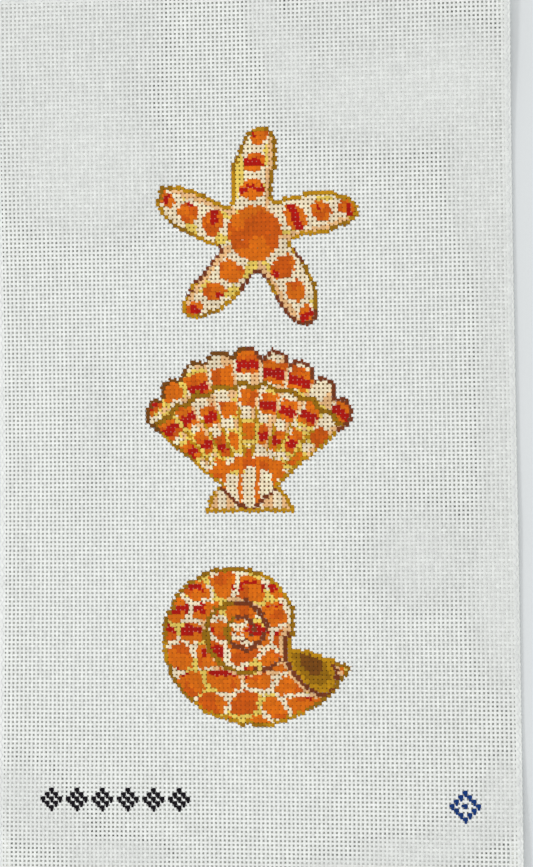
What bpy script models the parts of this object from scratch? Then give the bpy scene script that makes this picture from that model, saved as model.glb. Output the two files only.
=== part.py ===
"""Hand-painted needlepoint canvas: one sheet of open cotton mesh, hemmed and lying face up.

The sheet lies in the XY plane with its top edge towards +Y and its painted face towards +Z.
All four edges are turned under once, with mitred corners, and a row of machine stitching
runs along the turned edge. The paint is only colour, so nothing of it is raised.
"""
import math

import bmesh
import bpy
import numpy as np

# Driving dimensions, in metres
THREADS_PER_INCH = 13
THREAD_PITCH = 0.0254 / THREADS_PER_INCH
FOLDED_WIDTH = 121.44 * THREAD_PITCH  # between the fold lines, left to right
FOLDED_LENGTH = 209.44 * THREAD_PITCH  # between the fold lines, bottom to top
CLOTH_THICKNESS = 0.0005  # one thread over another
FOLD_RADIUS = 0.00035  # of the cloth's middle surface at the turned edge
HEM_DEPTH = 0.95 * THREAD_PITCH  # of the layer turned under
HEM_EXTRA_LOW = 2.6 * THREAD_PITCH  # towards the left and the bottom corner
HEM_EXTRA_HIGH = 1.5 * THREAD_PITCH  # towards the right and the top corner
HEM_CORNER_REACH = 0.033
MITRE_CLEARANCE = 0.0008  # how far the turned edge stops short of each corner

# How the starched sheet lies: it rests on its hem and on parts of its middle
LYING_HEIGHT = 0.0003  # of the middle's underside
HEM_STEP = 2 * FOLD_RADIUS  # what the layer below adds under the upper one
HEM_FLAT = 0.0086  # the upper layer stays up this far in from the fold
SETTLE_LEFT, SETTLE_RIGHT = 0.006, 0.022  # then it settles over these distances
SETTLE_TOP, SETTLE_BOTTOM = 0.008, 0.030

# The cloth's own pull: the left edge bows, the right edge leans, and the rows are uneven
LEFT_BOW = 1.1 * THREAD_PITCH  # inwards at the middle of the left edge
LEFT_BOW_FADE = 3.7
RIGHT_LEAN = 0.0012  # inwards at the top corner and outwards at the bottom one
RIGHT_LEAN_FADE = 1.5
ROW_STRETCH = 0.33 * THREAD_PITCH
ROW_STRETCH_LENGTH = 0.27

STITCH_INSET = 0.0003  # from the fold line to the outer side of the stitching
STITCH_WIDTH = 0.0014
STITCH_THICKNESS = 0.0004
TOUCH_GAP = 0.0003

COLUMNS_OF_FACES = 20
ROWS_OF_FACES = 33
FOLD_SEGMENTS = 4

HALF_WIDTH = FOLDED_WIDTH / 2
HALF_LENGTH = FOLDED_LENGTH / 2

WHITE_COTTON = (0.80, 0.82, 0.80, 1)
WHITE_THREAD = (0.86, 0.87, 0.88, 1)


def clear_scene():
    for item in list(bpy.data.objects):
        bpy.data.objects.remove(item, do_unlink=True)


def material(name, colour, roughness):
    finish = bpy.data.materials.new(name)
    finish.use_nodes = True
    shader = finish.node_tree.nodes["Principled BSDF"]
    shader.inputs["Base Color"].default_value = colour
    shader.inputs["Roughness"].default_value = roughness
    shader.inputs["Metallic"].default_value = 0.0
    return finish


def smooth_step(value):
    value = min(1.0, max(0.0, value))
    return value * value * (3 - 2 * value)


def swell(x, y, centre, radius, sharpness):
    """A rounded rise that is 1 at its centre and fades out at its radius, in x and in y."""
    reach = math.hypot((x - centre[0]) / radius[0], (y - centre[1]) / radius[1])
    return math.exp(-(reach ** sharpness))


def lift(x, y):
    """Height of the sheet's underside where no hem is below it: the corners curl up."""
    left, right, bottom, top = -HALF_WIDTH, HALF_WIDTH, -HALF_LENGTH, HALF_LENGTH
    return (
        LYING_HEIGHT
        + 0.0015 * swell(x, y, (left, top), (0.080, 0.105), 4)
        + 0.0015 * swell(x, y, (0.061, top - 0.011), (0.062, 0.052), 4)
        + 0.0021 * swell(x, y, (left, bottom), (0.088, 0.063), 4)
        + 0.0026 * swell(x, y, (right, top), (0.050, 0.065), 2)
        + 0.0030 * swell(x, y, (right, bottom), (0.060, 0.052), 2)
        + 0.0009 * swell(x, y, (right, -0.004), (0.020, 0.130), 4)
        + 0.0009 * swell(x, y, (0.088, -0.041), (0.030, 0.020), 2)
        + 0.0004 * swell(x, y, (-0.080, 0.004), (0.014, 0.045), 2)
    )


def hem_hold(x, y):
    """1 where the upper layer is held up by the hem below it, falling to 0 further in."""
    sides = (
        (x + HALF_WIDTH, SETTLE_LEFT),
        (HALF_WIDTH - x, SETTLE_RIGHT),
        (HALF_LENGTH - y, SETTLE_TOP),
        (y + HALF_LENGTH, SETTLE_BOTTOM),
    )
    free = 1.0
    for inset, settle in sides:
        free *= smooth_step((inset - HEM_FLAT) / settle)
    return 1 - free


def underside(x, y):
    """Height of the upper layer's underside above the surface that the sheet lies on."""
    resting = lift(x, y)
    return resting + max(0.0, HEM_STEP - resting) * hem_hold(x, y)


def pull(x, y):
    """Where a point of the flat lattice lies: bowed at the left, leaning at the right."""
    leftness = min(1.0, max(0.0, (1 - x / HALF_WIDTH) / 2)) ** LEFT_BOW_FADE
    rightness = min(1.0, max(0.0, (1 + x / HALF_WIDTH) / 2)) ** RIGHT_LEAN_FADE
    bow = LEFT_BOW * math.cos(math.pi * y / FOLDED_LENGTH) ** 2
    lean = -RIGHT_LEAN * math.sin(math.pi * y / FOLDED_LENGTH)
    centring = -RIGHT_LEAN / 2  # so that the outline stays centred
    stretch = -ROW_STRETCH * math.sin(2 * math.pi * y / ROW_STRETCH_LENGTH)
    return x + bow * leftness + lean * rightness + centring, y + stretch


def hem_depth(along, half_length):
    """Depth of the turned layer at a place along its edge: deeper towards both corners."""
    from_corner = half_length - abs(along)
    extra = HEM_EXTRA_LOW if along < 0 else HEM_EXTRA_HIGH
    return HEM_DEPTH + extra * math.exp(-((from_corner / HEM_CORNER_REACH) ** 2))


def stations(half_length, count):
    """Grid lines across the sheet: a narrow strip at each edge, and even ones between."""
    inner = half_length - MITRE_CLEARANCE
    return [-half_length, *np.linspace(-inner, inner, count - 1), half_length]


def add_upper_layer(mesh, xs, ys):
    middle = CLOTH_THICKNESS / 2
    grid = [[mesh.verts.new((x, y, middle + underside(x, y))) for x in xs] for y in ys]
    for low, high in zip(grid, grid[1:]):
        for k in range(len(xs) - 1):
            mesh.faces.new((low[k], low[k + 1], high[k + 1], high[k]))
    return grid


def turned_point(edge_point, outward, angle):
    """A point of the half round at the fold, where angle runs from 0 on top to pi below."""
    x, y, z = edge_point
    out = FOLD_RADIUS * math.sin(angle)
    return x + outward[0] * out, y + outward[1] * out, z - FOLD_RADIUS * (1 - math.cos(angle))


def lower_point(edge_point, outward, depth, half_length, is_end):
    """A point of the turned layer: depth in from the fold, and mitred at the corners."""
    along_x = abs(outward[1]) > 0
    x, y = edge_point[0] - outward[0] * depth, edge_point[1] - outward[1] * depth
    if is_end and along_x:
        x = math.copysign(half_length - MITRE_CLEARANCE - depth, x)
    if is_end and not along_x:
        y = math.copysign(half_length - MITRE_CLEARANCE - depth, y)
    return x, y, CLOTH_THICKNESS / 2 + underside(x, y) - HEM_STEP


def turn_edge_under(mesh, edge, outward, half_length):
    """Carries one row of edge points round the fold and back below the sheet."""
    rows = [edge]
    starts = [vertex.co.copy() for vertex in edge]
    for step in range(1, FOLD_SEGMENTS + 1):
        angle = math.pi * step / FOLD_SEGMENTS
        rows.append([mesh.verts.new(turned_point(start, outward, angle)) for start in starts])
    last = len(starts) - 1
    along = 0 if abs(outward[1]) > 0 else 1
    raw_edge = []
    for index, start in enumerate(starts):
        depth = hem_depth(start[along], half_length)
        point = lower_point(start, outward, depth, half_length, index in (0, last))
        raw_edge.append(mesh.verts.new(point))
    rows.append(raw_edge)
    for near, far in zip(rows, rows[1:]):
        for k in range(last):
            mesh.faces.new((near[k], far[k], far[k + 1], near[k + 1]))


def give_thickness(item, thickness):
    solid = item.modifiers.new("cloth thickness", "SOLIDIFY")
    solid.thickness = thickness
    solid.offset = 0
    solid.use_even_offset = True


def finished_object(name, mesh, finish):
    """Puts the mesh into an object, with every point moved to where the cloth pulls it."""
    for vertex in mesh.verts:
        vertex.co.x, vertex.co.y = pull(vertex.co.x, vertex.co.y)
    bmesh.ops.recalc_face_normals(mesh, faces=mesh.faces)
    data = bpy.data.meshes.new(name)
    mesh.to_mesh(data)
    mesh.free()
    data.materials.append(finish)
    data.shade_smooth()
    data.set_sharp_from_angle(angle=math.radians(40))
    item = bpy.data.objects.new(name, data)
    bpy.context.collection.objects.link(item)
    return item


def make_canvas():
    """The cloth: an upper layer, a half round along each edge, and the layer turned under."""
    mesh = bmesh.new()
    xs = stations(HALF_WIDTH, COLUMNS_OF_FACES)
    ys = stations(HALF_LENGTH, ROWS_OF_FACES)
    grid = add_upper_layer(mesh, xs, ys)
    left = [row[0] for row in grid][1:-1]
    right = [row[-1] for row in grid][1:-1]
    turn_edge_under(mesh, left, (-1, 0), HALF_LENGTH)
    turn_edge_under(mesh, right, (1, 0), HALF_LENGTH)
    turn_edge_under(mesh, grid[0][1:-1], (0, -1), HALF_WIDTH)
    turn_edge_under(mesh, grid[-1][1:-1], (0, 1), HALF_WIDTH)
    item = finished_object("canvas", mesh, material("starched cotton", WHITE_COTTON, 0.85))
    give_thickness(item, CLOTH_THICKNESS)
    return item


def frame_path(inset):
    """Places along a rectangle that runs this far in from the fold lines, one after another."""
    across = HALF_WIDTH - inset
    up = HALF_LENGTH - inset
    xs = np.linspace(-across, across, COLUMNS_OF_FACES)
    ys = np.linspace(-up, up, ROWS_OF_FACES)
    path = [(x, -up) for x in xs[:-1]]
    path += [(across, y) for y in ys[:-1]]
    path += [(x, up) for x in xs[:0:-1]]
    path += [(-across, y) for y in ys[:0:-1]]
    return path


def make_hem_stitching():
    """The row of thread on the hem, as a flat band that holds the zigzag's width and height."""
    mesh = bmesh.new()
    outer = frame_path(STITCH_INSET)
    inner = frame_path(STITCH_INSET + STITCH_WIDTH)
    base = CLOTH_THICKNESS + TOUCH_GAP
    loops = []
    for path, rise in ((outer, 0), (outer, STITCH_THICKNESS), (inner, STITCH_THICKNESS), (inner, 0)):
        points = [(x, y, base + rise + underside(x, y)) for x, y in path]
        loops.append([mesh.verts.new(point) for point in points])
    count = len(outer)
    for side in range(4):
        one, two = loops[side], loops[(side + 1) % 4]
        for k in range(count):
            after = (k + 1) % count
            mesh.faces.new((one[k], one[after], two[after], two[k]))
    return finished_object("hem_stitching", mesh, material("sewing thread", WHITE_THREAD, 0.6))


clear_scene()
make_canvas()
make_hem_stitching()
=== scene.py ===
import math

import bpy
import numpy as np
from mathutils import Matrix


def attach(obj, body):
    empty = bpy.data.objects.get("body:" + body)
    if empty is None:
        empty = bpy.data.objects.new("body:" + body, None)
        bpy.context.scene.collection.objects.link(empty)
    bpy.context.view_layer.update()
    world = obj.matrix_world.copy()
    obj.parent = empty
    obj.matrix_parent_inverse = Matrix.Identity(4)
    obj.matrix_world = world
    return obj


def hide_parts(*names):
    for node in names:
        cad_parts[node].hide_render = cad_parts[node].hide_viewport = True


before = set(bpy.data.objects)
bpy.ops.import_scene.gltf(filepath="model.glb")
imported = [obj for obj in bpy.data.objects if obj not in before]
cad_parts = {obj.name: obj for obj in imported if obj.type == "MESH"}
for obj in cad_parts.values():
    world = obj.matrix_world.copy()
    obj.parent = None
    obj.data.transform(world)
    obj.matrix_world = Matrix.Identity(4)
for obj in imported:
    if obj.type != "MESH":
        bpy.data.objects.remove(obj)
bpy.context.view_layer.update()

# The canvas: mono canvas of 13 threads to the inch, hemmed and starched. Lengths are in metres,
# and a pitch is the distance from one thread to the next.
pitch = 0.0254 / 13
cloth = {
    "lastColumn": 60,  # the warp threads run from -60 to 60
    "lastRow": 104,  # and the weft threads from -104 to 104
    "foldAfter": 0.72,  # the fold lies this many pitches past the last thread
    "thickness": 0.0005,
    "foldRadius": 0.00035,  # of the cloth's middle
    "hemDepth": 0.95 * pitch,
    "hemExtraLow": 2.6 * pitch,  # deeper towards the left and the bottom corner
    "hemExtraHigh": 1.5 * pitch,  # and a little less towards the right and the top one
    "hemCornerReach": 0.033,
    "mitreClearance": 0.0008,  # between two hems that meet at a corner
    "hemNesting": 0.00025,  # the turned layer is pressed this far up into the holes above it
    "hemSlip": 0.5 * pitch,  # and lies this far along, so that its threads fill those holes
    "lyingHeight": 0.0003,
    "hemFlat": 0.0086,  # the upper layer stays up this far inwards from the folds
    "settle": (0.006, 0.022, 0.030, 0.008),  # then comes down within: left, right, bottom, top
    "leftBow": 1.1 * pitch,  # the left edge's middle is drawn in
    "leftBowFade": 3.7,
    "rightLean": 0.0012,  # the right edge leans outwards towards the bottom
    "rightLeanFade": 1.5,
    "rowStretch": 0.33 * pitch,  # the rows lie closer and wider in turn
    "rowStretchLength": 0.27,
}
halfWidth = (cloth["lastColumn"] + cloth["foldAfter"]) * pitch
halfLength = (cloth["lastRow"] + cloth["foldAfter"]) * pitch
foldLength = math.pi * cloth["foldRadius"]

yarn = {
    "halfWidth": 0.00051,
    "halfHeight": 0.00013,
    "crimp": 0.00012,  # how far a thread's middle rises over each crossing
    "paintSwell": 0.42,  # share by which a thickly painted thread is wider
    "wander": 0.00007,  # slow sideways drift of a thread
    "jitter": 0.00005,  # sideways shift from one crossing to the next
    "unevenness": 0.07,  # share by which a thread's width varies
    # Random values along threads: step from thread to thread, start, length along it
    "drift": (7.3, 40, 23),
    "sway": (0.6, 9, 9),
    "shake": (3.1, 5, 1.4),
    "thinning": (5.7, 0, 1.1),
    "starchSwell": 0.18,  # share by which it is wider where starch fills the holes
    "openShrink": 0.50,  # and narrower where the cloth is more open
    "hemSwell": 0.78,  # the threads lie close along the folds
    "hemFlatness": 0.55,  # and rise and fall less there
    "hemSwellReach": 1.1 * pitch,
    "threadsInHem": 3,  # parallel to its fold, away from the corners
    "mostThreadsInHem": 5,  # near the corners
    "foldTuck": 0.25,  # the thread in each fold sits this many pitches further in
    "hemEndGap": 0.3,  # pitches between a hem's thread and the mitre
    "hemCover": 0.25,  # pitches of cloth that a thread needs beyond it
    "leastRings": 5,  # shorter ends are left out
    "seed": 401,
}


def smoothStep(value):
    # Eases from 0 to 1: three times the square less twice the cube.
    value = np.clip(value, 0, 1)
    return value * value * (3 - 2 * value)


def cloudy(x, y, size, seed):
    # Smooth random values from 0 to 1: random numbers on a square lattice, eased between.
    cells = 64
    table = np.random.default_rng(seed).random((cells, cells))
    gridX, gridY = np.asarray(x) / size, np.asarray(y) / size
    column, row = np.floor(gridX).astype(int), np.floor(gridY).astype(int)
    easeX, easeY = smoothStep(gridX - column), smoothStep(gridY - row)
    left, right = column % cells, (column + 1) % cells
    low, high = row % cells, (row + 1) % cells
    lower = table[left, low] * (1 - easeX) + table[right, low] * easeX
    upper = table[left, high] * (1 - easeX) + table[right, high] * easeX
    return lower * (1 - easeY) + upper * easeY


def uneven(x, y, amount, size, seed):
    # Random values on both sides of nothing: the amount times smooth ones less a half.
    return amount * (cloudy(x, y, size, seed) - 0.5)


def patchy(x, y, size, seed, level):
    # Random patches: where the smooth random values are over the level.
    return cloudy(x, y, size, seed) > level


def swell(x, y, centre, radius, sharpness):
    # A rounded rise: e to the power of minus the scaled distance raised to the sharpness.
    reach = np.hypot((x - centre[0]) / radius[0], (y - centre[1]) / radius[1])
    return np.exp(-(reach**sharpness))


# Where the sheet rises off the surface: height, middle, reach, sharpness of the rise
rises = (
    (0.0015, (-halfWidth, halfLength), (0.080, 0.105), 4),
    (0.0015, (0.061, halfLength - 0.011), (0.062, 0.052), 4),
    (0.0021, (-halfWidth, -halfLength), (0.088, 0.063), 4),
    (0.0026, (halfWidth, halfLength), (0.050, 0.065), 2),
    (0.0030, (halfWidth, -halfLength), (0.060, 0.052), 2),
    (0.0009, (halfWidth, -0.004), (0.020, 0.130), 4),
    (0.0009, (0.088, -0.041), (0.030, 0.020), 2),
    (0.0004, (-0.080, 0.004), (0.014, 0.045), 2),
)


def lift(x, y):
    # Height of the sheet's underside where no hem is below it: the lying height and every rise.
    height = cloth["lyingHeight"]
    for rise, middle, reach, sharpness in rises:
        height = height + rise * swell(x, y, middle, reach, sharpness)
    return height


# Where starch lies thick and fills the holes: middle, reach, sharpness of the border, strength.
# Where the strength is below zero, the cloth is more open.
starchPatches = (
    ((-0.0878, 0.1822), (0.0512, 0.0421), 4, 0.54),
    ((-0.0740, 0.1250), (0.0384, 0.0311), 4, 0.82),
    ((-0.0887, 0.1502), (0.0320, 0.0183), 4, 0.2),
    ((0.0650, 0.1556), (0.0512, 0.0229), 4, 0.9),
    ((0.0951, 0.1675), (0.0210, 0.0201), 4, 0.75),
    ((0.0064, 0.1922), (0.0078, 0.0165), 4, 0.62),
    ((0.0179, 0.1721), (0.0110, 0.0165), 4, 0.72),
    ((0.0508, 0.1904), (0.0384, 0.0165), 4, 0.28),
    ((0.0755, -0.0537), (0.0220, 0.0225), 3, 0.8),
    ((0.1107, -0.0743), (0.0150, 0.0389), 3, 0.85),
    ((0.1162, 0.0218), (0.0140, 0.1258), 4, 0.7),
    ((0.1025, 0.1156), (0.0130, 0.0350), 4, 0.72),
    ((0.1168, 0.1300), (0.0012, 0.0900), 4, 0.95),
    ((-0.0759, 0.0084), (0.0101, 0.0348), 2, 0.24),
    ((-0.1094, -0.1589), (0.0170, 0.0120), 2, 0.6),
    ((-0.0943, -0.1749), (0.0183, 0.0091), 3, 0.4),
    ((-0.0645, -0.1887), (0.0238, 0.0082), 4, 0.66),
    ((0.0384, -0.1942), (0.0265, 0.0060), 4, 0.72),
    ((0.0705, -0.1855), (0.0230, 0.0075), 4, 0.72),
    ((0.0920, -0.1781), (0.0150, 0.0085), 3, 0.7),
    ((0.1117, -0.1612), (0.0120, 0.0170), 4, 0.76),
    ((-0.0224, 0.1639), (0.0274, 0.0389), 4, -0.16),
    ((0.0832, 0.0404), (0.0155, 0.0686), 4, -0.18),
    ((-0.0247, -0.1973), (0.1097, 0.0064), 4, -0.3),
    ((0.0878, -0.1059), (0.0302, 0.0283), 4, -0.17),
    ((-0.0887, -0.0922), (0.0274, 0.0412), 4, -0.1),
    ((-0.1024, 0.0633), (0.0320, 0.0274), 4, -0.06),
    ((0.1102, -0.1905), (0.0183, 0.0101), 3, -0.3),
)


def starchAt(x, y):
    # How far starch fills the holes, up to 1: 1 less the product of what each patch leaves open.
    openShare = 1.0
    for middle, reach, sharpness, strength in starchPatches:
        openShare = openShare * (1 - strength * swell(x, y, middle, reach, sharpness))
    return 1 - openShare


def pressed(x, y):
    # 1 at the fold and in the hem, where the cloth is pressed: a steep bell curve inwards.
    inset = np.maximum(np.minimum(halfWidth - np.abs(x), halfLength - np.abs(y)), 0)
    return np.exp(-((inset / yarn["hemSwellReach"]) ** 4))


def crowding(x, y):
    # Share by which the threads are wider: by the starch in the holes, and along the folds.
    starch = starchAt(x, y)
    starch = np.where(starch < 0, yarn["openShrink"], yarn["starchSwell"]) * starch
    return starch + yarn["hemSwell"] * pressed(x, y)


def hemHold(x, y):
    # 1 where the hem below holds the upper layer up: 1 less the product of four easings inwards.
    insets = (x + halfWidth, halfWidth - x, y + halfLength, halfLength - y)
    free = 1.0
    for inset, settle in zip(insets, cloth["settle"]):
        free = free * smoothStep((inset - cloth["hemFlat"]) / settle)
    return 1 - free


def underside(x, y):
    # Height of the upper layer's underside: the lift, raised to the hem's step where the hem holds.
    resting = lift(x, y)
    return resting + np.maximum(0, 2 * cloth["foldRadius"] - resting) * hemHold(x, y)


def pull(x, y):
    # Where a lattice point lies: a squared cosine bows the left edge, a sine leans the right one.
    leftness = np.clip((1 - x / halfWidth) / 2, 0, 1) ** cloth["leftBowFade"]
    rightness = np.clip((1 + x / halfWidth) / 2, 0, 1) ** cloth["rightLeanFade"]
    bow = cloth["leftBow"] * np.cos(math.pi * y / (2 * halfLength)) ** 2
    stretch = -cloth["rowStretch"] * np.sin(2 * math.pi * y / cloth["rowStretchLength"])
    lean = -cloth["rightLean"] * np.sin(math.pi * y / (2 * halfLength))
    centring = -cloth["rightLean"] / 2
    return x + bow * leftness + lean * rightness + centring, y + stretch


def hemDepth(along, half):
    # Depth of the turned layer: a bell curve of the distance to the corner, on top of a constant.
    nearness = np.exp(-(((half - np.abs(along)) / cloth["hemCornerReach"]) ** 2))
    extra = np.where(along < 0, cloth["hemExtraLow"], cloth["hemExtraHigh"])
    return cloth["hemDepth"] + extra * nearness


def clothPoints(flatX, flatY, rise):
    # Flat sheet to folded sheet. Past a fold line a point goes round a half circle, then back below.
    radius = cloth["foldRadius"]
    overX, overY = np.abs(flatX) - halfWidth, np.abs(flatY) - halfLength
    sideways = overX > overY
    over = np.maximum(np.maximum(overX, overY), 0)
    angle = np.minimum(over / radius, math.pi)
    back = np.maximum(over - foldLength, 0)
    edgeX = np.where(sideways, np.sign(flatX) * np.minimum(np.abs(flatX), halfWidth - back), flatX)
    edgeY = np.where(sideways, flatY, np.sign(flatY) * np.minimum(np.abs(flatY), halfLength - back))
    middle = cloth["thickness"] / 2 + underside(edgeX, edgeY)
    out = (radius + rise) * np.sin(angle)
    x = edgeX + np.where(sideways, np.sign(flatX) * out, 0)
    y = edgeY + np.where(sideways, 0, np.sign(flatY) * out)
    turned = smoothStep(over / foldLength)
    z = middle - radius + (radius + rise) * np.cos(angle) + cloth["hemNesting"] * turned
    x = x + np.where(sideways, 0, cloth["hemSlip"] * turned)
    y = y + np.where(sideways, cloth["hemSlip"] * turned, 0)
    x, y = pull(x, y)
    return np.stack([x, y, z], axis=-1)


# The paints' colours, from 0 to 255
paints = {
    "bare": (244, 247, 244),
    "cream": (246, 230, 197),
    "peach": (238, 190, 135),
    "orange": (222, 110, 10),
    "rust": (206, 89, 8),
    "crimson": (176, 14, 4),
    "yellow": (235, 205, 95),
    "gold": (188, 136, 12),
    "olive": (154, 108, 8),
    "umber": (120, 71, 16),
    "maroon": (120, 56, 26),
    "black": (15, 10, 20),
    "navy": (14, 56, 124),
}
bare, cream, peach, orange, rust, crimson, yellow, gold, olive, umber, maroon, black, navy = range(
    len(paints))

# Skins of paint or starch in the holes. Most are darker than the threads' tops, as painted shade in the
# holes; crimson and maroon are paler, as painted highlights.
skins = {
    "cream": (128, 96, 50),
    "peach": (142, 88, 40),
    "orange": (186, 84, 14),
    "rust": (168, 68, 12),
    "crimson": (214, 128, 116),
    "yellow": (136, 106, 30),
    "gold": (104, 70, 5),
    "olive": (84, 56, 4),
    "umber": (82, 48, 14),
    "maroon": (168, 130, 116),
    "black": (14, 12, 18),
    "navy": (16, 40, 88),
    # grey that stands in for the shade in a hole where the starch is thin
    "thinStarchHoleShade": (150, 152, 148),
    "thickStarch": (238, 240, 238),
    "starchPower": 0.75,  # the tone rises with this power of the starch
    "leastStarch": 0.13,  # below this the hole is open
    "reach": 0.36,  # in pitches from the hole's middle to the corner under the threads
    "rimDepth": 0.00010,  # below the middle of the cloth
    "middleDepth": 0.00003,
    "paintMottle": 0.22,
    "starchMottle": 0.03,
    "mottle": (0.6, 91),  # size and seed
    "raggedness": (0.10, 0.7, 92),  # of starched places' borders: amount, size, seed
}

# The design's lengths are in pitches from the middle of the cloth
brush = {
    "samplesPerPitch": 2,
    "wobble": 0.30,  # how far it strays from the drawn line
    "wobbleLength": 1.7,
    "wobbleSeeds": (81, 82),  # across and up
}


def grown(mask):
    # One pitch wider all round: step by step, the mask and its four neighbours' places.
    for step in range(brush["samplesPerPitch"]):
        wide = mask.copy()
        wide[1:] |= mask[:-1]
        wide[:-1] |= mask[1:]
        wide[:, 1:] |= mask[:, :-1]
        wide[:, :-1] |= mask[:, 1:]
        mask = wide
    return mask


def rim(mask):
    # The outermost pitch of the mask: its part that the grown outside reaches.
    return mask & grown(~mask)


def islands(x, y, size, gap, seed):
    # Patches round jittered centres: a place is in one where its nearest centre is clearly nearest.
    dice = np.random.default_rng(seed)
    reach, jitter = 80, 0.28
    across, up = int(reach / size[0]), int(reach / size[1])
    column, row = np.meshgrid(np.arange(-across, across + 1), np.arange(-up, up + 1), indexing="ij")
    centreX = (column + 0.5 * (row % 2) + dice.uniform(-jitter, jitter, column.shape)).ravel() * size[0]
    centreY = (row + dice.uniform(-jitter, jitter, column.shape)).ravel() * size[1]
    far = np.hypot((x[..., None] - centreX) / size[0], (y[..., None] - centreY) / size[1])
    nearest = np.partition(far, 1, axis=-1)
    return nearest[..., 1] - nearest[..., 0] > gap


seaStar = {
    "centre": (1, 49),
    "arms": 5,
    "radius": 25,
    "waist": 0.36,  # how far the body reaches between the arms, as a share of the radius
    "taper": 2.3,  # power of the cosine that shapes each arm
    "turn": 0.16,
    "curl": 0.010,  # the arms turn back by this much for each pitch outwards
    "shade": (0.30, 1.5),  # off an arm's line by this share of the rest of the arm, and this more
    "heart": 3.4,  # radius of the spot in the middle
    "spotSpacing": 6.2,
    "spotStart": 1.0,
    "firstSpot": 3.0,
    "spotLength": 2.35,
    "spotWidth": (4.4, 0.12, 1.2),  # at the middle, less by this share outwards, the least
    "dash": (0.75, 7),  # half its width, and how far out the first one is
    "glowFrom": 2.0,  # from an arm's line
    "lowRim": -3,  # below this height the rim is darker
    # Random patches: size, seed, level
    "rustPatches": (2.6, 8, 0.62),
    "crimsonPatches": (3.0, 5, 0.45),
    "yellowPatches": (3.5, 21, 0.63),
    "goldPatches": (5, 33, 0.42),
    "maroonPatches": (4, 35, 0.5),
}


def paintSeaStar(x, y, paint):
    # Arms: the reach is a waist plus a power of the cosine of the angle off each arm's line.
    dx, dy = x - seaStar["centre"][0], y - seaStar["centre"][1]
    far = np.hypot(dx, dy)
    turn = np.arctan2(dx, dy) + seaStar["turn"] - seaStar["curl"] * far
    part = 2 * math.pi / seaStar["arms"]
    off = turn - np.round(turn / part) * part
    waist = seaStar["waist"]
    lobe = np.cos(seaStar["arms"] / 2 * off) ** seaStar["taper"]
    reach = seaStar["radius"] * (waist + (1 - waist) * lobe)
    inside = far < reach
    edge = rim(inside)
    across, along = far * np.sin(off), far * np.cos(off)
    mark = np.where(inside, cream, bare)
    shadeShare, shadeMore = seaStar["shade"]
    mark = np.where(inside & (across > shadeShare * (reach - along) + shadeMore), peach, mark)
    spacing = seaStar["spotSpacing"]
    beat = (along - seaStar["spotStart"]) % spacing - spacing / 2  # a row of spots down each arm
    widest, narrowing, least = seaStar["spotWidth"]
    width = np.clip(widest - narrowing * along, least, None)
    spot = np.hypot(beat / seaStar["spotLength"], across / width) < 1
    spot = (spot & (along > seaStar["firstSpot"])) | (far < seaStar["heart"])
    mark = np.where(inside & spot & ~edge, orange, mark)
    mark = np.where((mark == orange) & patchy(x, y, *seaStar["rustPatches"]), rust, mark)
    dashHalf, dashStart = seaStar["dash"]
    dash = (np.abs(beat) < dashHalf) & (along > dashStart) & patchy(x, y, *seaStar["crimsonPatches"])
    mark = np.where((mark == orange) & dash, crimson, mark)
    glow = (np.abs(across) > seaStar["glowFrom"]) & patchy(x, y, *seaStar["yellowPatches"])
    mark = np.where((mark == cream) & ~spot & glow, yellow, mark)
    mark = np.where(edge, np.where(patchy(x, y, *seaStar["goldPatches"]), gold, olive), mark)
    low = edge & (dy < seaStar["lowRim"]) & patchy(x, y, *seaStar["maroonPatches"])
    mark = np.where(low, maroon, mark)
    return np.where(inside, mark, paint)


scallop = {
    "hinge": (-1, -16),
    "radius": 38.5,
    "spread": 0.86,  # half the fan's angle, in radians
    "shortening": 0.13,  # share by which the outermost ribs are shorter
    "ribs": 9,
    "notch": 2.4,  # depth of the rim between two ribs
    "groove": 0.55,  # half width of the grooves between the ribs
    "goldGrooves": 24,  # as far out as this, every second groove is gold
    "foot": 13,  # radius of the striped part at the hinge, which has no grooves
    "stripes": 4,
    "shadeFrom": 0.62,  # of a rib's width
    "marksFrom": 15,  # shades and dashes lie at least this far out
    "ringSpacing": 7.6,
    "ringStep": 2.2,  # most by which the rings step from rib to rib
    "mostRings": 12,
    "seeds": (3, 9),  # of the rings' steps and of the blotches
    "blotch": (0.46, 0.30),  # its share of a ring, and how much of the random value comes on top
    "blotchesFrom": 10,
    "plain": 0.12,  # share of the rings that have no blotch
    "dash": (0.27, 0.13),  # its middle and half its length, as shares of a ring
    "dashless": 0.45,  # and no dash
    "growthLine": (29.5, 0.5, 0.62),  # its radius, waviness and half width
    "earBase": 10.6,  # half width of the ears at the hinge
    "earSlope": 0.55,
    "earHeight": (-0.6, 5.6),  # their lower and upper ends, from the hinge
    "topRim": 18,  # above this height the rim is darker
    # Random patches: size, seed, level
    "rustPatches": (2.8, 14, 0.62),
    "yellowPatches": (4, 15, 0.62),
    "olivePatches": (7, 41, 0.5),
}


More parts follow.
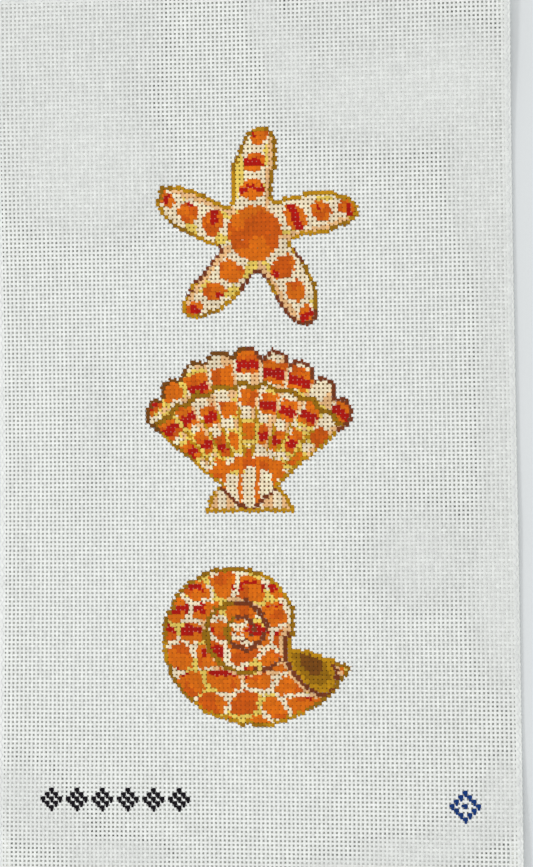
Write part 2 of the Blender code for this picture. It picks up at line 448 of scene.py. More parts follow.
def paintScallop(x, y, paint):
    # A fan of ribs round a hinge: the angle gives the rib, the distance gives the growth ring.
    dx, dy = x - scallop["hinge"][0], y - scallop["hinge"][1]
    far, turn = np.hypot(dx, dy), np.arctan2(dx, dy)
    ribs, spread = scallop["ribs"], scallop["spread"]
    rib = (turn / spread + 1) / 2 * ribs
    ribIndex = np.clip(np.floor(rib), 0, ribs - 1).astype(int)
    within = rib - ribIndex
    offRib = np.abs(within - 0.5)
    roundness = 1 - scallop["shortening"] * (turn / spread) ** 2
    outer = scallop["radius"] * roundness - scallop["notch"] * (offRib * 2) ** 3
    fan = (np.abs(turn) < spread) & (far < outer)
    ear = np.abs(dx) < scallop["earBase"] - scallop["earSlope"] * dy
    ear &= (dy > scallop["earHeight"][0]) & (dy < scallop["earHeight"][1])
    whole, foot, marked = fan | ear, far < scallop["foot"], far > scallop["marksFrom"]
    groove = fan & ((0.5 - offRib) * far * 2 * spread / ribs < scallop["groove"]) & ~foot
    mark = np.where(whole, cream, bare)
    mark = np.where(fan & (within > scallop["shadeFrom"]) & marked, peach, mark)
    stripe, half = np.round(np.abs(dx)) % scallop["stripes"], scallop["stripes"] // 2
    mark = np.where(ear & ~fan & (stripe < half), peach, mark)
    stepDice, blotchDice = [np.random.default_rng(seed) for seed in scallop["seeds"]]
    step = stepDice.uniform(-scallop["ringStep"], scallop["ringStep"], ribs)[ribIndex]
    ring = (far + step) / scallop["ringSpacing"]
    ringIndex = np.clip(np.floor(ring), 0, scallop["mostRings"] - 1).astype(int)
    share = ring - np.floor(ring)
    picked = blotchDice.random((ribs, scallop["mostRings"]))[ribIndex, ringIndex]
    least, more = scallop["blotch"]
    blotch = fan & ~groove & (share < least + more * picked) & (picked > scallop["plain"])
    blotch &= far > scallop["blotchesFrom"]
    mark = np.where(blotch, orange, mark)
    mark = np.where(blotch & patchy(x, y, *scallop["rustPatches"]), rust, mark)
    dash = (np.abs(share - scallop["dash"][0]) < scallop["dash"][1]) & (picked > scallop["dashless"])
    mark = np.where(blotch & dash & marked, crimson, mark)
    halo = fan & ~blotch & grown(blotch)
    mark = np.where(halo & patchy(x, y, *scallop["yellowPatches"]), yellow, mark)
    radius, waviness, thickness = scallop["growthLine"]
    line = np.abs(far - radius - waviness * np.sin(rib * 2 * math.pi)) < thickness
    mark = np.where(fan & line, olive, mark)
    mark = np.where(groove & (far < scallop["goldGrooves"]) & (ribIndex % 2 == 0), gold, mark)
    mark = np.where(fan & foot & (stripe == half), orange, mark)
    mark = np.where(ear & grown(fan) & ~fan, maroon, mark)
    edge = rim(whole)
    mark = np.where(edge, np.where(patchy(x, y, *scallop["olivePatches"]), olive, gold), mark)
    top = edge & fan & (dy > scallop["topRim"])
    mark = np.where(top, np.where(dx > 0, maroon, umber), mark)
    return np.where(whole, mark, paint)


moonSnail = {
    "centre": (-3, -44),
    "radius": 22.0,
    "flare": 1.22,  # the last whorl ends at this many radii
    "flattening": 1.04,
    "turn": 0.10 * math.pi,
    "growth": 2.25,  # each turn is this many times the last
    "shade": (0.26, 4),  # its share of a whorl's width, and where it starts
    "patchesFrom": 0.10,  # of a whorl's width
    "patches": ((7.4, 5.6), 0.17, 26),  # size, gap, seed
    "dashes": (5, 2),  # rows from one to the next, and rows in one
    "mouth": (16.0, -7.5),  # its middle from the centre
    "mouthReach": (4.6, 8.2),
    "mouthLean": (0.82, 0.57),  # the cosine and sine of its turn
    # Both as shares of the mouth's reach: the rings' outer limits, the lips' middles and half widths
    "mouthRings": ((1.22, peach), (1.0, gold), (0.72, olive), (0.42, umber)),
    "lips": ((1.0, 0.09), (1.30, 0.08)),
    "seam": (0.60, 2.2, 1.25),  # half width, where it starts, how near the mouth it ends
    # Random patches: size, seed, level
    "rustPatches": (2.7, 51, 0.60),
    "crimsonPatches": (4.5, 52, 0.56),
    "yellowPatches": (4, 53, 0.64),
    "maroonPatches": (8, 54, 0.4),
    "olivePatches": (7, 55, 0.45),
}


def paintMoonSnail(x, y, paint):
    # A growing spiral: the logarithm of the distance, less the angle, gives the whorl.
    dx, dy = x - moonSnail["centre"][0], y - moonSnail["centre"][1]
    size = moonSnail["flare"] * moonSnail["radius"]
    far = np.hypot(dx, dy * moonSnail["flattening"]) + 1e-6
    turn = np.arctan2(dy, dx) + moonSnail["turn"]
    growth = math.log(moonSnail["growth"]) / (2 * math.pi)
    inside = far < size * np.exp(growth * (turn % (2 * math.pi) - 2 * math.pi))
    level = (np.log(far / size) / growth - turn) / (2 * math.pi)
    within = level - np.floor(level)
    mark = np.where(inside, cream, bare)
    shade = (within < moonSnail["shade"][0]) & (far > moonSnail["shade"][1])
    mark = np.where(inside & shade, peach, mark)
    blotch = inside & (within > moonSnail["patchesFrom"])
    blotch[blotch] = islands(x[blotch], y[blotch], *moonSnail["patches"])
    mark = np.where(blotch, orange, mark)
    mark = np.where(blotch & patchy(x, y, *moonSnail["rustPatches"]), rust, mark)
    dash = y % moonSnail["dashes"][0] < moonSnail["dashes"][1]
    mark = np.where(blotch & dash & patchy(x, y, *moonSnail["crimsonPatches"]), crimson, mark)
    halo = inside & ~blotch & grown(blotch)
    mark = np.where(halo & patchy(x, y, *moonSnail["yellowPatches"]), yellow, mark)
    mouthX, mouthY = dx - moonSnail["mouth"][0], dy - moonSnail["mouth"][1]
    cosine, sine = moonSnail["mouthLean"]
    ovalX = (mouthX * cosine + mouthY * sine) / moonSnail["mouthReach"][0]
    ovalY = (mouthY * cosine - mouthX * sine) / moonSnail["mouthReach"][1]
    oval = np.hypot(ovalX, ovalY)  # the mouth is a leaning oval at the wide end
    for limit, colour in moonSnail["mouthRings"]:
        mark = np.where(inside & (oval < limit), colour, mark)
    lip, outerLip = [np.abs(oval - middle) < thickness for middle, thickness in moonSnail["lips"]]
    mark = np.where(inside & lip, maroon, mark)
    mark = np.where(inside & outerLip & (mouthX > 0), orange, mark)
    thickness, start, end = moonSnail["seam"]
    seam = np.minimum(within, 1 - within) * far * growth * 2 * math.pi < thickness
    seam &= inside & (far > start) & (oval > end)
    mark = np.where(seam, np.where(patchy(x, y, *moonSnail["maroonPatches"]), maroon, olive), mark)
    mark = np.where(rim(inside), np.where(patchy(x, y, *moonSnail["olivePatches"]), olive, gold), mark)
    return np.where(inside, mark, paint)


ornaments = {
    "rowMiddle": (-33, -83),
    "rowReach": 17.6,
    "spacing": 6,
    "diamond": 2,  # from its middle to its corners
    "stoneMiddle": (48, -84),
    "stone": 3,
    "line": 0.7,
    "dot": 0.6,
}


def diamondAt(across, up, reach):
    # A diamond's outline and its dot: the sum of both distances is near the reach or near nothing.
    far = np.abs(across) + np.abs(up)
    return (np.abs(far - reach) < ornaments["line"]) | (far < ornaments["dot"])


def paintBorders(x, y, paint):
    # Two small plain ornaments: a row of diamonds at the lower left, one diamond at the lower right.
    dx, dy = x - ornaments["rowMiddle"][0], y - ornaments["rowMiddle"][1]
    half = ornaments["spacing"] / 2
    inRow = (np.abs(dx) <= ornaments["rowReach"]) & (np.abs(dy) <= half)
    row = inRow & diamondAt(dx % ornaments["spacing"] - half, dy, ornaments["diamond"])
    dx, dy = x - ornaments["stoneMiddle"][0], y - ornaments["stoneMiddle"][1]
    paint = np.where(row, black, paint)
    return np.where(diamondAt(dx, dy, ornaments["stone"]), navy, paint)


def paintedCloth():
    # The whole canvas as an array of paint numbers. Each motif is drawn with an unsteady hand.
    samples, spare = brush["samplesPerPitch"], 8
    columns, rows = [np.arange(-(last + spare) * samples, (last + spare) * samples + 1) / samples
                     for last in (cloth["lastColumn"], cloth["lastRow"])]
    x, y = np.meshgrid(columns, rows, indexing="ij")
    strayX, strayY = [uneven(x, y, 2 * brush["wobble"], brush["wobbleLength"], seed)
                      for seed in brush["wobbleSeeds"]]
    paint = np.zeros(x.shape, int)
    for paintMotif in (paintScallop, paintSeaStar, paintMoonSnail):
        paint = paintMotif(x + strayX, y + strayY, paint)
    return paintBorders(x, y, paint)


paintMap = paintedCloth()
paintColours = np.array(list(paints.values())) / 255
print("design painted:", round(100 * (paintMap > 0).mean()), "percent of the cloth")


def paintAt(x, y):
    # The paint number at a place in pitches: the nearest sample of the map.
    samples = brush["samplesPerPitch"]
    middleX, middleY = (np.array(paintMap.shape) - 1) // 2
    column, row = [np.floor(place * samples + 0.5).astype(int) for place in (x, y)]
    return paintMap[column + middleX, row + middleY]


def placeOn(line, station, isWarp):
    # Across and up, in pitches, of a place along a thread: a warp runs up, a weft across.
    return (line + 0 * station, station) if isWarp else (station, line + 0 * station)


# How thick the paint lies: thick for the strong colours, a wash for the pale ones
body = {
    "cream": 0.15, "peach": 0.3, "yellow": 0.4, "black": 0.6, "navy": 0.6,
    "gold": 0.9, "olive": 0.9, "umber": 0.9, "maroon": 0.9,
    "orange": 1, "rust": 1, "crimson": 1,
}
paintBody = np.array([body.get(name, 0) for name in paints])


def alongThread(line, stations, kind, turn):
    # Smooth random values along each thread: threads are rows of one lattice, the given step apart.
    step, start, length = yarn[kind]
    return cloudy(line * step + start, stations, length, yarn["seed"] + turn)


def threadRings(lines, stations, isWarp):
    # Diamond sections along threads that rise and fall by a cosine, one wave every two crossings.
    line = lines[:, None]
    turn = 0 if isWarp else 50
    drift = alongThread(line, stations, "drift", turn) + alongThread(line, stations, "sway", turn + 1) - 1
    shake = 2 * alongThread(line, stations, "shake", turn + 2) - 1
    thinning = 2 * alongThread(line, stations, "thinning", turn + 3) - 1
    across = line * pitch + yarn["wander"] * drift + yarn["jitter"] * shake
    along = stations * pitch
    place = (across, along) if isWarp else (along, across)
    parity = np.where(line % 2 == 0, 1, -1) * (1 if isWarp else -1)
    flatness = 1 - yarn["hemFlatness"] * pressed(*place)
    rise = yarn["crimp"] * np.cos(math.pi * stations) * parity * flatness
    bodies = [paintBody[paintAt(*placeOn(line, stations + step, isWarp))] for step in (-0.2, 0.2)]
    width = 1 + yarn["unevenness"] * thinning + yarn["paintSwell"] * 0.5 * sum(bodies)
    width = yarn["halfWidth"] * (width + crowding(*place))
    zero = np.zeros_like(rise)
    sideways = np.stack([zero, width, zero, -width], axis=-1)
    upwards = np.stack([zero + 1, zero, zero - 1, zero], axis=-1) * yarn["halfHeight"]
    acrossAll, alongAll = across[..., None] + sideways, along[..., None] + 0 * sideways
    flat = (acrossAll, alongAll) if isWarp else (alongAll, acrossAll)
    return clothPoints(*flat, rise[..., None] + upwards)


paintShade = {
    "soakedAndShaded": np.array([0.74, 0.64, 0.54]),  # the underside of a painted thread against its top: paint soaked through, darker still as painted shade for the holes
    "under": np.array([0.95, 0.92, 0.85]),  # and of a bare one: warmer and darker as painted shade for the holes
    # Unevenness: amount, size in pitches, seed
    "grain": (0.05, 0.7, 71),  # on every thread
    "streak": (0.035, 5, 72),  # from thread to thread
    "stroke": (0.15, 0.5, 73),  # of the brush, on painted threads
    "wash": (0.10, 4.2, 75),
    "darkerInStarchPatches": 0.038,  # threads are this share darker where the starch patches lie
    "fullStarch": 1 / 2.2,  # from this much starch
}


def faceColours(lines, stations, isWarp):
    # A colour for each face between two rings: the crossing's paint, darker on the underside as painted
    # shade.
    between = (stations[:, 1:] + stations[:, :-1]) / 2
    x, y = placeOn(lines[:, None], between, isWarp)
    number = paintAt(x, y)
    ownRow = lines[:, None] * 5.7 + 40 * isWarp  # far enough apart for streaks of their own
    shade = 1 + uneven(x, y, *paintShade["grain"])
    shade = shade + uneven(ownRow, stations[:, 1:], *paintShade["streak"])
    *stroke, strokeSeed = paintShade["stroke"]
    brushed = uneven(x, y, *stroke, strokeSeed + isWarp) + uneven(x, y, *paintShade["wash"])
    starched = np.clip(starchAt(x * pitch, y * pitch) / paintShade["fullStarch"], 0, 1)
    shade = shade + np.where(number > 0, brushed, 0) - paintShade["darkerInStarchPatches"] * starched
    top = np.clip(paintColours[number] * shade[..., None], 0, 1)
    turned = np.maximum(np.abs(x) * pitch - halfWidth, np.abs(y) * pitch - halfLength)[..., None] > 0
    # Painted shade on the undersides, except in the turned layer of the hem
    under = np.where(turned, top, top * paintShade["under"])
    under = np.where(number[..., None] > 0, top * paintShade["soakedAndShaded"], under)
    colours = np.stack([top, under, under, top], axis=2)
    painted = np.stack([number > 0, 0 * number, 0 * number, number > 0], axis=2)
    return np.concatenate([colours, painted[..., None]], axis=-1)


def mapPlaces(first, second, shape):
    # Both coordinates of a UV map, a pair for each corner of the faces.
    return np.stack([np.broadcast_to(side, shape).ravel() for side in (first, second)], axis=-1)


def blockOfThreads(lines, stations, isWarp):
    # Points, faces, face colours and both UV maps of a group of threads with equally many rings.
    lines = np.asarray(lines, float)
    stations = np.broadcast_to(stations, (len(lines), stations.shape[-1]))
    count, rings = stations.shape
    index = np.arange(count * rings * 4).reshape(count, rings, 4)
    after = np.roll(index, -1, axis=2)
    quads = np.stack([index[:, :-1], after[:, :-1], after[:, 1:], index[:, 1:]], axis=-1)
    caps = np.stack([index[:, 0, ::-1], index[:, -1]], axis=1)
    cornerRing, cornerSide = np.array([0, 0, 1, 1]), np.array([0, 1, 1, 0])
    if not isWarp:  # wefts run the other way round, so their faces are reversed
        quads, caps = quads[..., ::-1], caps[..., ::-1]
        cornerRing = 1 - cornerRing
    colours = faceColours(lines, stations, isWarp)
    side = np.arange(4)[None, None, :, None]
    strip = np.arange(count)[:, None, None, None] * 4 + side
    ringNumber = np.arange(rings - 1)[None, :, None, None] + cornerRing
    margin = 0.08
    bakeAcross = strip + margin + (1 - 2 * margin) * cornerSide
    near, far = stations[:, :-1, None, None], stations[:, 1:, None, None]
    yarnAlong = near + (far - near) * cornerRing
    return {
        "points": threadRings(lines, stations, isWarp).reshape(-1, 3),
        "quads": quads.reshape(-1, 4),
        "caps": caps.reshape(-1, 4),
        "colours": colours.reshape(-1, 4),
        "capColours": colours[:, [0, -1], 0].reshape(-1, 4),
        "bake": mapPlaces(ringNumber / (rings - 1), bakeAcross, quads.shape),
        "yarn": mapPlaces(yarnAlong, (side + cornerSide) / 4, quads.shape),
        "strips": 4 * count,
    }


def stationsOf(foldAt, hem):
    # Ring places along threads, in pitches: two a pitch, four round each fold, six in each hem.
    inner = np.arange(0, math.floor(2 * foldAt) + 1) / 2
    fold = foldAt + np.arange(0, 4) / 4 * foldLength / pitch
    back = foldAt + foldLength / pitch + np.linspace(0, 1, 6) * hem[:, None]
    ahead = np.concatenate([np.broadcast_to(inner[1:], (len(hem), len(inner) - 1)),
                            np.broadcast_to(fold, (len(hem), 4)), back], axis=1)
    return np.concatenate([-ahead[:, ::-1], np.zeros((len(hem), 1)), ahead], axis=1)


def mainThreads(first, last, isWarp):
    # Threads that cross the whole sheet, go round the folds and end in the hems.
    lines = np.arange(first, last + 1)
    foldAt, half = (halfLength / pitch, halfWidth) if isWarp else (halfWidth / pitch, halfLength)
    place = lines * pitch
    room = np.maximum(half - np.abs(place) - cloth["mitreClearance"], 0.15 * pitch)
    hem = np.minimum(hemDepth(place, half), room)
    return blockOfThreads(lines, stationsOf(foldAt, hem / pitch), isWarp)


def hemThreads(side, isWarp):
    # Threads inside one hem, parallel to its fold, in runs wherever the hem is deep enough for them.
    across, along = (halfWidth, halfLength) if isWarp else (halfLength, halfWidth)
    firstPlace = math.ceil(across / pitch) - yarn["foldTuck"]
    blocks = []
    for extra in range(yarn["mostThreadsInHem"]):
        place = firstPlace + extra
        depth = max(0, place * pitch - across - foldLength)
        end = (along - cloth["mitreClearance"] - depth) / pitch - yarn["hemEndGap"]
        half = np.arange(0, 2 * math.floor(end) + 1) / 2
        whole = np.concatenate([-half[:0:-1], half])
        held = hemDepth(whole * pitch, along) > depth + yarn["hemCover"] * pitch
        for run in np.split(np.arange(len(whole)), np.nonzero(np.diff(held))[0] + 1):
            if held[run[0]] and len(run) >= yarn["leastRings"]:
                blocks.append(blockOfThreads(np.array([side * place]), whole[None, run], isWarp))
    return blocks


def meshOfArrays(name, points, loops, starts, rgba, maps):
    # A mesh of points, the faces' corners in a row, where each face starts, colours and UV maps.
    mesh = bpy.data.meshes.new(name)
    mesh.vertices.add(points.size // 3)
    mesh.vertices.foreach_set("co", points.astype(np.float32).ravel())
    mesh.loops.add(loops.size)
    mesh.loops.foreach_set("vertex_index", loops.astype(np.int32).ravel())
    mesh.polygons.add(starts.size)
    mesh.polygons.foreach_set("loop_start", starts.astype(np.int32).ravel())
    attribute = mesh.color_attributes.new("paint", "BYTE_COLOR", "CORNER")
    attribute.data.foreach_set("color_srgb", rgba.astype(np.float32).ravel())
    for mapName, places in maps.items():
        layer = mesh.uv_layers.new(name=mapName)
        layer.uv.foreach_set("vector", places.astype(np.float32).ravel())
    mesh.update(calc_edges=True)
    mesh.shade_smooth()
    return mesh


def pieceOf(name, mesh, finish):
    # An object at the origin that shows the mesh in the finish.
    mesh.materials.append(finish)
    piece = bpy.data.objects.new(name, mesh)
    bpy.context.collection.objects.link(piece)
    return piece


def meshOfBlocks(name, blocks):
    # Joins blocks of threads in one mesh. Each strip of faces has a row of the map to itself.
    joined = {key: [block[key] for block in blocks] for key in blocks[0]}
    pointStarts = np.cumsum([0] + [len(points) for points in joined["points"]])
    stripStarts = np.cumsum([0] + joined["strips"])
    faces = np.concatenate([part + start for key in ("quads", "caps")
                            for part, start in zip(joined[key], pointStarts)])
    rgba = np.repeat(np.concatenate(joined["colours"] + joined["capColours"]), 4, axis=0)
    bake = [(part + (0, start)) / (1, stripStarts[-1])
            for part, start in zip(joined["bake"], stripStarts)]
    capCount = sum(len(caps) for caps in joined["caps"])
    speck = [np.tile(np.array([[0, 0], [0, 1], [1, 1], [1, 0]]) * 0.0005, (capCount, 1))]
    maps = {"OFBake": np.concatenate(bake + speck), "yarn": np.concatenate(joined["yarn"] + speck)}
    mesh = meshOfArrays(name, np.concatenate(joined["points"]), faces,
                        np.arange(0, faces.size, 4), rgba, maps)
    mesh.validate()
    mesh.set_sharp_from_angle(angle=math.radians(80))  # the thread's two thin sides stay crisp
    return mesh


def mathNode(tree, operation, first, second=None):
    # A Math node whose two inputs are sockets or numbers.
    node = tree.nodes.new("ShaderNodeMath")
    node.operation = operation
    for socket, value in zip(node.inputs, (first, second)):
        if isinstance(value, bpy.types.NodeSocket):
            tree.links.new(value, socket)
        elif value is not None:
            socket.default_value = value
    return node.outputs[0]


cottonFinish = {
    "bareRoughness": 0.86,
    "paintRoughness": 0.65,
    "specularLevel": 0.10,
    "twistTurns": 1.6,
    "twistFuzz": 0.5,
    "bumpHeight": 0.00003,
    "hollowShade": 0.03,
}
threadFinish = {
    "colour": (0.88, 0.89, 0.91, 1),
    "roughness": 0.55,
    "sheen": 0.2,
    "twistTurns": 3.2,
    "twistFuzz": 0.3,
    "bumpHeight": 0.00002,
    "hollowShade": 0.10,
}
twist = {
    "fuzzScale": 5200,
    "fuzzDetail": 3,
    # colour of the painted shade between the strands
    "hollowShadeColour": (0.12, 0.10, 0.08, 1),
}


def makeTwistGroup():
    # Ridges of twisted yarn: the sine of the place along the thread plus the way round it.
    group = bpy.data.node_groups.new("yarnTwist", "ShaderNodeTree")
    for way, label in (("INPUT", "Turns"), ("INPUT", "Fuzz"), ("OUTPUT", "Height"), ("OUTPUT", "Hollow")):
        group.interface.new_socket(label, in_out=way, socket_type="NodeSocketFloat")
    given, put = group.nodes.new("NodeGroupInput"), group.nodes.new("NodeGroupOutput")
    place = group.nodes.new("ShaderNodeUVMap")
    place.uv_map = "yarn"
    split = group.nodes.new("ShaderNodeSeparateXYZ")
    group.links.new(place.outputs[0], split.inputs[0])
    along = mathNode(group, "MULTIPLY", split.outputs[0], given.outputs["Turns"])
    phase = mathNode(group, "MULTIPLY", mathNode(group, "ADD", along, split.outputs[1]), 2 * math.pi)
    wave = mathNode(group, "ADD", mathNode(group, "SINE", phase), 1.0)
    ridge = mathNode(group, "MULTIPLY", wave, 0.5)
    spot = group.nodes.new("ShaderNodeTexCoord")
    noise = group.nodes.new("ShaderNodeTexNoise")
    noise.inputs["Scale"].default_value = twist["fuzzScale"]
    noise.inputs["Detail"].default_value = twist["fuzzDetail"]
    group.links.new(spot.outputs["Object"], noise.inputs["Vector"])
    fuzz = mathNode(group, "MULTIPLY", noise.outputs[0], given.outputs["Fuzz"])
    group.links.new(mathNode(group, "ADD", ridge, fuzz), put.inputs["Height"])
    group.links.new(mathNode(group, "SUBTRACT", 1.0, ridge), put.inputs["Hollow"])
    return group


twistGroup = makeTwistGroup()


def mixColours(tree, blend, factor, first, second):
    # A colour Mix node, each of whose inputs is a socket or a value.
    node = tree.nodes.new("ShaderNodeMix")
    node.data_type = "RGBA"
    node.blend_type = blend
    for socket, value in zip((node.inputs[0], node.inputs[6], node.inputs[7]), (factor, first, second)):
        if isinstance(value, bpy.types.NodeSocket):
            tree.links.new(value, socket)
        else:
            socket.default_value = value
    return node.outputs[2]


def twistedFinish(name, finish, colourOf):
    # A material of twisted yarn: ridges in the normal, and painted shade that makes it a little darker
    # between the strands.
    material = bpy.data.materials.new(name)
    material.use_nodes = True
    tree = material.node_tree
    shader = tree.nodes["Principled BSDF"]
    ridges = tree.nodes.new("ShaderNodeGroup")
    ridges.node_tree = twistGroup
    ridges.inputs["Turns"].default_value = finish["twistTurns"]
    ridges.inputs["Fuzz"].default_value = finish["twistFuzz"]
    bump = tree.nodes.new("ShaderNodeBump")
    bump.inputs["Strength"].default_value = 1.0
    bump.inputs["Distance"].default_value = finish["bumpHeight"]
    tree.links.new(ridges.outputs["Height"], bump.inputs["Height"])
    tree.links.new(bump.outputs[0], shader.inputs["Normal"])
    # Painted shade in the hollows between the strands
    hollow = mathNode(tree, "MULTIPLY", ridges.outputs["Hollow"], finish["hollowShade"])
    colour = mixColours(tree, "MIX", hollow, colourOf(tree), twist["hollowShadeColour"])
    tree.links.new(colour, shader.inputs["Base Color"])
    return material, tree, shader


def paintAttribute(tree):
    # The meshes' colour attribute: the paint, with 1 in its alpha where there is any.
    attribute = tree.nodes.new("ShaderNodeVertexColor")
    attribute.layer_name = "paint"
    return attribute


def starchedCotton():
    # Matt threads. The roughness goes from bare cotton's to the paint's with the attribute's alpha.
    material, tree, shader = twistedFinish(
        "starched_cotton", cottonFinish, lambda nodes: paintAttribute(nodes).outputs["Color"])
    step = cottonFinish["paintRoughness"] - cottonFinish["bareRoughness"]
    drop = mathNode(tree, "MULTIPLY", paintAttribute(tree).outputs["Alpha"], step)
    rough = mathNode(tree, "ADD", drop, cottonFinish["bareRoughness"])
    tree.links.new(rough, shader.inputs["Roughness"])
    shader.inputs["Specular IOR Level"].default_value = cottonFinish["specularLevel"]
    return material


def sewingThread():
    # Tighter twisted thread of one colour, with a slight sheen.
    material, _, shader = twistedFinish(
        "sewing_thread", threadFinish, lambda nodes: threadFinish["colour"])
    shader.inputs["Roughness"].default_value = threadFinish["roughness"]
    shader.inputs["Sheen Weight"].default_value = threadFinish["sheen"]
    return material


def makeCanvas(finish):
    # Three groups of warp threads side by side, and three of weft threads one above the other.
    groups = (  # name, whether warp, first and last thread, sides with a hem
        ("warp_threads_left", True, -60, -21, [-1]),
        ("warp_threads_middle", True, -20, 20, []),
        ("warp_threads_right", True, 21, 60, [1]),
        ("weft_threads_bottom", False, -104, -35, [-1]),
        ("weft_threads_middle", False, -34, 34, []),
        ("weft_threads_top", False, 35, 104, [1]),
    )
    for name, isWarp, first, last, sides in groups:
        blocks = [mainThreads(first, last, isWarp)]
        for side in sides:
            blocks += hemThreads(side, isWarp)
        piece = pieceOf(name, meshOfBlocks(name, blocks), finish)
        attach(piece, "root")
        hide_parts("canvas")
        print(name, "made,", 2 * len(piece.data.polygons), "triangles")


def closedHoles():
    # Places of the holes that paint or starch closes, with 1 for painted ones, and their starch.
    columns = np.arange(-cloth["lastColumn"], cloth["lastColumn"]) + 0.5
    rows = np.arange(-cloth["lastRow"], cloth["lastRow"]) + 0.5
    x, y = [side.ravel() for side in np.meshgrid(columns, rows, indexing="ij")]
    around = [paintAt(x + stepX, y + stepY) > 0 for stepX in (-0.5, 0.5) for stepY in (-0.5, 0.5)]
    painted = (paintAt(x, y) > 0) & (sum(side.astype(int) for side in around) > 2)
    starch = starchAt(x * pitch, y * pitch) + uneven(x, y, *skins["raggedness"])
    filled = painted | (starch > skins["leastStarch"])
    return x[filled], y[filled], painted[filled, None], starch[filled, None]


def skinColours(x, y, painted, starch):
    # Paint tones in holes, darker as painted shade or paler as painted highlights; or a mix from thin
    # starch's grey painted hole shade to thick starch by a power of the starch.
    thin, thick = np.array(skins["thinStarchHoleShade"]), np.array(skins["thickStarch"])
    tones = np.array([skins.get(name, paints[name]) for name in paints])
    whiteness = np.clip(starch, 0, 1) ** skins["starchPower"]
    colours = np.where(painted, tones[paintAt(x, y)], thin + (thick - thin) * whiteness) / 255
    mottle = np.where(painted, skins["paintMottle"], skins["starchMottle"])
    shade = 1 + mottle * uneven(x, y, 1, *skins["mottle"])[:, None]
    return np.concatenate([np.clip(colours * shade, 0, 1), painted], axis=-1)


def makeSkins(finish):
    # A low pyramid in each closed hole: four corners under the threads and a higher middle.
    x, y, painted, starch = closedHoles()
    reach, count = skins["reach"], len(x)
    cornerX = np.array([-reach, reach, reach, -reach, 0])
    cornerY = np.array([-reach, -reach, reach, reach, 0])
    depth = np.array([skins["rimDepth"]] * 4 + [skins["middleDepth"]])
    points = clothPoints((x[:, None] + cornerX) * pitch, (y[:, None] + cornerY) * pitch, -depth)
    corner = np.array([0, 1, 4, 1, 2, 4, 2, 3, 4, 3, 0, 4, 3, 2, 1, 0])  # four triangles, one square
    corners, number = len(corner), np.arange(count)[:, None]
    rgba = np.repeat(skinColours(x, y, painted, starch), corners, axis=0)
    cells = math.ceil(math.sqrt(count))  # each skin has a square cell of the map
    cell = np.stack([number % cells, number // cells], axis=-1)
    spot = np.array([[0.08, 0.08], [0.44, 0.08], [0.44, 0.92], [0.08, 0.92], [0.26, 0.5]])[corner]
    spot[12:, 0] += 0.48  # the square lies beside the triangles
    maps = {"OFBake": (cell + spot) / cells, "yarn": 0 * cell + spot}
    mesh = meshOfArrays("skins_in_holes", points, corner + 5 * number,
                        np.array([0, 3, 6, 9, 12]) + corners * number, rgba, maps)
    piece = pieceOf("skins_in_holes", mesh, finish)
    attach(piece, "root")
    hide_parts("canvas")
    print("skins in", count, "holes made,", 6 * count, "triangles")


stitching = {
    "inset": 0.0003,  # from the fold to the zigzag
    "width": 0.0014,
    "advance": 1.0 * pitch,  # along the hem, from stroke to stroke
    "radius": 0.00010,
    "sides": 4,
    "rings": (-1.0, -0.88, 0.0, 0.88, 1.0),  # places along a stroke
    "heights": (-0.6, 0.75, 1.2, 0.75, -0.6),  # above the cloth, in radii: both ends dip into it
    "lowest": 0.00004,  # above the surface that the canvas lies on
}


def strokesAlong(isSide, side, isTurned):
    # Middle lines of a row of strokes, which go across the zigzag's width and back in turn.
    half, other = (halfLength, halfWidth) if isSide else (halfWidth, halfLength)
    middle = stitching["inset"] + stitching["width"] / 2
    reach = half - middle
    strokes = int(2 * reach / stitching["advance"])
    number, rings = np.arange(strokes)[:, None], np.array(stitching["rings"])
    slant = np.where(number % 2 == 0, 1, -1) * rings
    inset = middle + slant * (stitching["width"] / 2 - stitching["radius"])
    place = -reach + (number + 0.5 + rings / 2) * 2 * reach / strokes
    out = side * (other + foldLength + inset if isTurned else other - inset)
    above = cloth["thickness"] / 2 + np.array(stitching["heights"]) * stitching["radius"]
    flat = (out, place) if isSide else (place, out)
    return clothPoints(*flat, above + 0 * place)


def tubesAlong(lines, turn):
    # A ring of corners round every point, square to its line: cosine sideways, sine upwards.
    tangent = np.gradient(lines, axis=1)
    tangent /= np.linalg.norm(tangent, axis=-1, keepdims=True)
    sideVector = np.cross(tangent, np.array([0, 0, 1.0]))
    sideVector /= np.linalg.norm(sideVector, axis=-1, keepdims=True)
    upVector = np.cross(sideVector, tangent)
    outwards = (np.cos(turn)[:, None] * sideVector[:, :, None]
                + np.sin(turn)[:, None] * upVector[:, :, None])
    ring = lines[:, :, None] + stitching["radius"] * outwards
    ring[..., 2] = np.maximum(ring[..., 2], stitching["lowest"])
    return ring


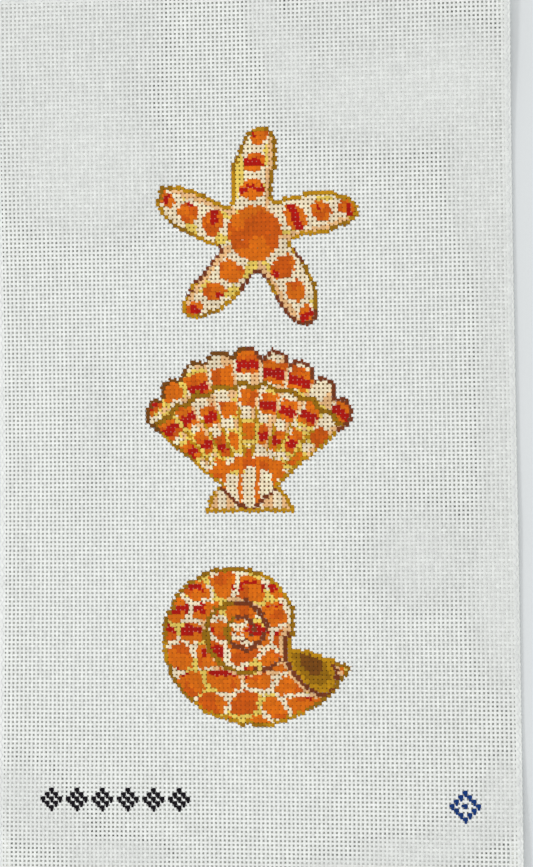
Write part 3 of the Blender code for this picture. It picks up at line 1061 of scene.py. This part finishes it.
def makeHemStitching(finish):
    # A zigzag on both faces of the hem: each stroke leaves the cloth, crosses and goes back in.
    lines = np.concatenate([strokesAlong(isSide, side, isTurned) for isSide in (True, False)
                            for side in (-1, 1) for isTurned in (False, True)])
    turn = np.arange(stitching["sides"]) * 2 * math.pi / stitching["sides"]
    ring = tubesAlong(lines, turn)
    count, steps, sides = ring.shape[:3]
    index = np.arange(count * steps * sides).reshape(count, steps, sides)
    after = np.roll(index, -1, axis=2)
    walls = np.stack([index[:, 1:], after[:, 1:], after[:, :-1], index[:, :-1]], axis=-1)
    along = (np.arange(steps - 1)[None, :, None, None] + np.array([1, 1, 0, 0])) / (steps - 1)
    around = (np.arange(sides)[None, None, :, None] + np.array([0, 1, 1, 0])) / sides
    speck = 0.005 * (1 + np.stack([np.cos(turn), np.sin(turn)], axis=-1))
    uv = np.concatenate([mapPlaces(along, around, walls.shape), np.tile(speck, (2 * count, 1))])
    faces = walls.reshape(-1, 4).tolist() + index[:, 0].tolist() + index[:, -1, ::-1].tolist()
    mesh = bpy.data.meshes.new("hem_zigzag_thread")
    mesh.from_pydata(ring.reshape(-1, 3).tolist(), [], faces)
    mesh.uv_layers.new(name="yarn").uv.foreach_set("vector", uv.astype(np.float32).ravel())
    mesh.shade_smooth()
    piece = pieceOf("hem_zigzag_thread", mesh, finish)
    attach(piece, "root")
    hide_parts("hem_stitching")
    print("hem stitching made,", 2 * len(faces), "triangles")


studio = {
    "floorColour": (0.78, 0.81, 0.82, 1),
    "floorRoughness": 0.8,
    "floorReach": 15.0,
    "floorHeight": -0.00005,
    "skyStrength": 0.81,
    "keyAngle": 48.0,  # degrees from straight above, on the left
    "keyDistance": 2.0,
    "keySize": 0.30,
    "keyPower": 8.0,
    "cameraPlace": (0.06441, -0.004924, 0.75),
    "cameraTurn": (0.61888166, 4.49003775, -0.46482481),  # in degrees
    "cameraLens": 68.5449,  # in millimetres, on a sensor of the given width
    "cameraSensor": 36,
    "cameraNearest": 0.01,
}


def makeStudio():
    # A wide pale floor, an even sky, one soft light from the left and the camera above.
    reach, height = studio["floorReach"], studio["floorHeight"]
    mesh = bpy.data.meshes.new("floor")
    corners = [(sideX * reach, sideY * reach, height)
               for sideX, sideY in ((-1, -1), (1, -1), (1, 1), (-1, 1))]
    mesh.from_pydata(corners, [], [(0, 1, 2, 3)])
    floor = bpy.data.objects.new("floor", mesh)
    bpy.context.collection.objects.link(floor)
    surface = bpy.data.materials.new("pale_floor")
    surface.use_nodes = True
    shader = surface.node_tree.nodes["Principled BSDF"]
    shader.inputs["Base Color"].default_value = studio["floorColour"]
    shader.inputs["Roughness"].default_value = studio["floorRoughness"]
    mesh.materials.append(surface)
    world = bpy.data.worlds.new("soft_sky")
    world.use_nodes = True
    sky = world.node_tree.nodes["Background"]
    sky.inputs[0].default_value = (1, 1, 1, 1)
    sky.inputs[1].default_value = studio["skyStrength"]
    bpy.context.scene.world = world
    lamp = bpy.data.lights.new("key", "AREA")
    lamp.energy = studio["keyPower"]
    lamp.size = studio["keySize"]
    key = bpy.data.objects.new("key", lamp)
    angle, distance = math.radians(studio["keyAngle"]), studio["keyDistance"]
    key.location = (-distance * math.sin(angle), 0, distance * math.cos(angle))
    key.rotation_euler = (0, -angle, 0)
    bpy.context.collection.objects.link(key)
    lens = bpy.data.cameras.new("camera")
    lens.lens = studio["cameraLens"]
    lens.sensor_width = studio["cameraSensor"]
    lens.clip_start = studio["cameraNearest"]
    camera = bpy.data.objects.new("camera", lens)
    camera.location = studio["cameraPlace"]
    camera.rotation_euler = [math.radians(turn) for turn in studio["cameraTurn"]]
    bpy.context.collection.objects.link(camera)
    bpy.context.scene.camera = camera
    bpy.context.scene.view_settings.view_transform = "Standard"


cotton = starchedCotton()
makeCanvas(cotton)
makeSkins(cotton)
makeHemStitching(sewingThread())
makeStudio()
